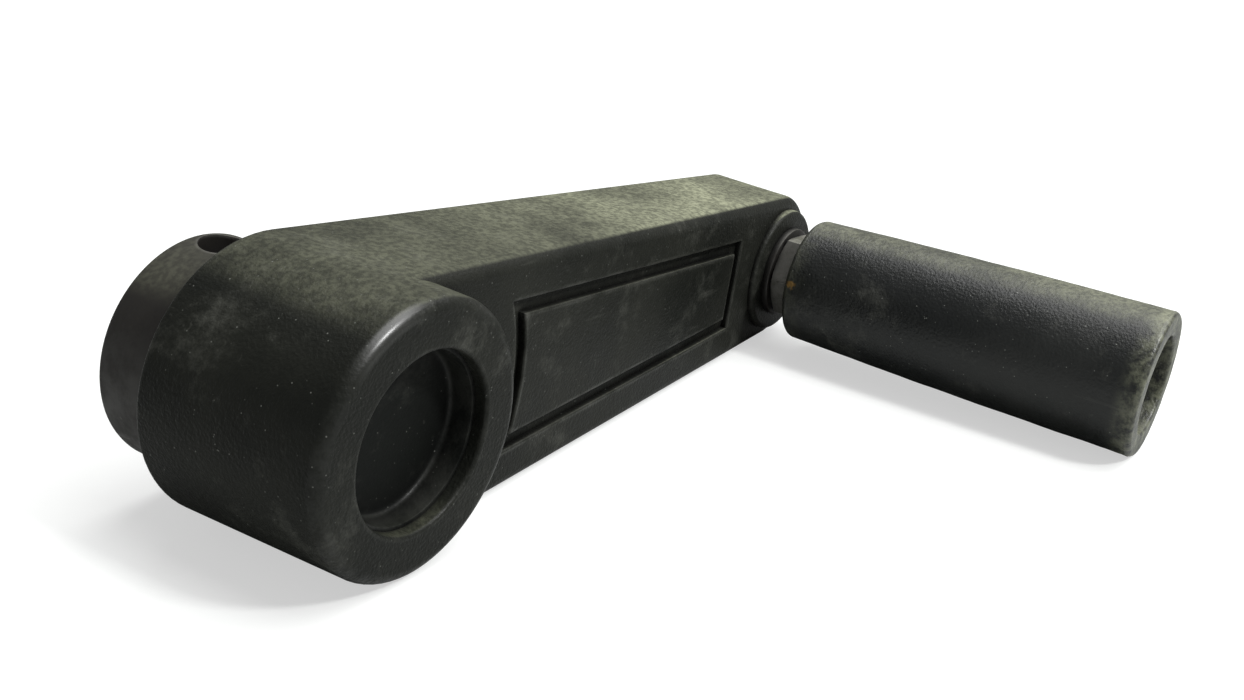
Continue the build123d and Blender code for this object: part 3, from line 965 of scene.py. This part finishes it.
# %% Split washer
SPLIT_ANGLE = math.radians(353)
SPLIT_TURN = math.radians(87)
lock_back, lock_front = span("lock_washer")
split = lathe("split_washer", tube_outline(radius_of("lock_washer", throw), STUD_HOLE, lock_back, lock_front),
              throw, steps=90, angle=SPLIT_ANGLE)
open_piece(split)
bpy.ops.mesh.select_mode(type="EDGE")
bpy.ops.mesh.select_non_manifold()
bpy.ops.mesh.fill()
bpy.ops.mesh.select_mode(type="VERT")
weld_and_face_out()
bpy.ops.mesh.select_all(action="SELECT")
bpy.ops.transform.rotate(value=SPLIT_TURN, orient_axis="Y", center_override=(throw, 0, 0))
close_piece()
finish_piece(split, "lock_washer", "crank", zinc_steel, 40)

# %% [markdown]
# ## The nut
# A hexagon bar with its corners turned off and a hole through it. The stud's thread fills the hole,
# so the hole itself stays plain, with a lead-in at the back.

# %% Nut
NUT_FLATS = 17.0 * MM
NUT_LEAD_IN = 0.55 * MM
nut_back, nut_front = span("spindle_nut")
nut = chamfered_hexagon("jam_nut", NUT_FLATS, nut_back, nut_front, throw, lift=0.8 * MM)
nut_hole = drill(STUD_RADIUS + THREAD_FIT, NUT_LEAD_IN, nut_back, nut_front, throw, steps=72)
combine(nut, nut_hole, "DIFFERENCE")
finish_piece(nut, "spindle_nut", "crank", zinc_steel, 30)

# %% [markdown]
# ## Carried-over nodes
# The steel sleeve inside the arm and the spring ring on the journal are plain parts that already
# have their true shape, so they stay as they are and only get a finish.

# %% Finish the carried-over nodes
for node, finish in (("limiter_sleeve", zinc_steel), ("retaining_ring", black_steel)):
    for slot in frame["nodes"][node].material_slots:
        slot.material = finish
print("kept as they are: limiter_sleeve, retaining_ring")

# %% [markdown]
# ## Floor
# The crank lies on a white table on three points: the back edges of the hub and of the arm's end,
# and the grip's outer end. The floor is a plane through those three, so the contact shadows are
# right. The table is overexposed, so it gets a little glare that only the lens sees: the shadows
# turn pale without any more light on the crank.

# %% Floor
FLOOR_SIZE = 6.0
GLARE = 0.55
rise_along_arm = (hub_radius - arm_end_radius) / throw
rise_to_grip = (arm_end_radius - grip_radius) / (hub_back - grip_end)
bpy.ops.object.select_all(action="DESELECT")
bpy.ops.mesh.primitive_plane_add(size=FLOOR_SIZE, location=(0, 0, 0))
floor = bpy.context.object
floor.name = "table_top"
for corner in floor.data.vertices:
    corner.co.z = -hub_radius + rise_along_arm * corner.co.x + rise_to_grip * (hub_back - corner.co.y)
table_white, tree, surface = start_material("table_white")
tone = noise(tree, own_place(tree), 30.0, 4.0)
tree.links.new(blend(tree, tone, (0.44, 0.45, 0.44, 1), (0.48, 0.49, 0.48, 1)), surface.inputs["Base Color"])
surface.inputs["Roughness"].default_value = 0.6
surface.inputs["Emission Color"].default_value = (1, 1, 1, 1)
seen = place(tree, "LightPath").outputs["Is Camera Ray"]
tree.links.new(product(tree, seen, GLARE), surface.inputs["Emission Strength"])
floor.data.materials.append(table_white)
print("table slopes:", round(rise_along_arm, 4), "along the arm,", round(rise_to_grip, 4), "along the grip")

# %% [markdown]
# ## Light
# A broad skylight from the right lights the table and the dusty tops and drops short soft shadows
# to the left. A small window in front draws the streak on the hub's front edge, and the white room
# fills in the rest.

# %% Lights
WINDOW = Vector((0.10, -0.625, 0.694))
WINDOW_AIM = Vector((0.0, -0.04, 0.0))
ROOM_LIGHT = 0.26


def add_lamp(name, kind, towards, **settings):
    """Adds a lamp whose light comes from one direction."""
    light = bpy.data.lights.new(name, kind)
    for key, value in settings.items():
        setattr(light, key, value)
    lamp = bpy.data.objects.new(name, light)
    lamp.rotation_euler = towards.to_track_quat("Z", "Y").to_euler()
    bpy.context.scene.collection.objects.link(lamp)
    return lamp


add_lamp("skylight", "SUN", Vector((0.30, -0.12, 0.95)), energy=3.2, angle=math.radians(62))
window = add_lamp("front_window", "AREA", WINDOW - WINDOW_AIM, shape="RECTANGLE", size=0.13, size_y=0.11,
                  energy=5.0)
window.location = WINDOW
world = bpy.data.worlds.new("studio")
world.use_nodes = True
room = world.node_tree
seen = place(room, "LightPath").outputs["Is Camera Ray"]
strength = place(room, "MapRange", Value=seen, i3=ROOM_LIGHT, i4=1.0).outputs[0]
room.links.new(strength, room.nodes["Background"].inputs["Strength"])
room.nodes["Background"].inputs["Color"].default_value = (1, 1, 1, 1)
bpy.context.scene.world = world
bpy.context.scene.view_settings.view_transform = "Standard"
print("lights:", ", ".join(light.name for light in bpy.data.lights))
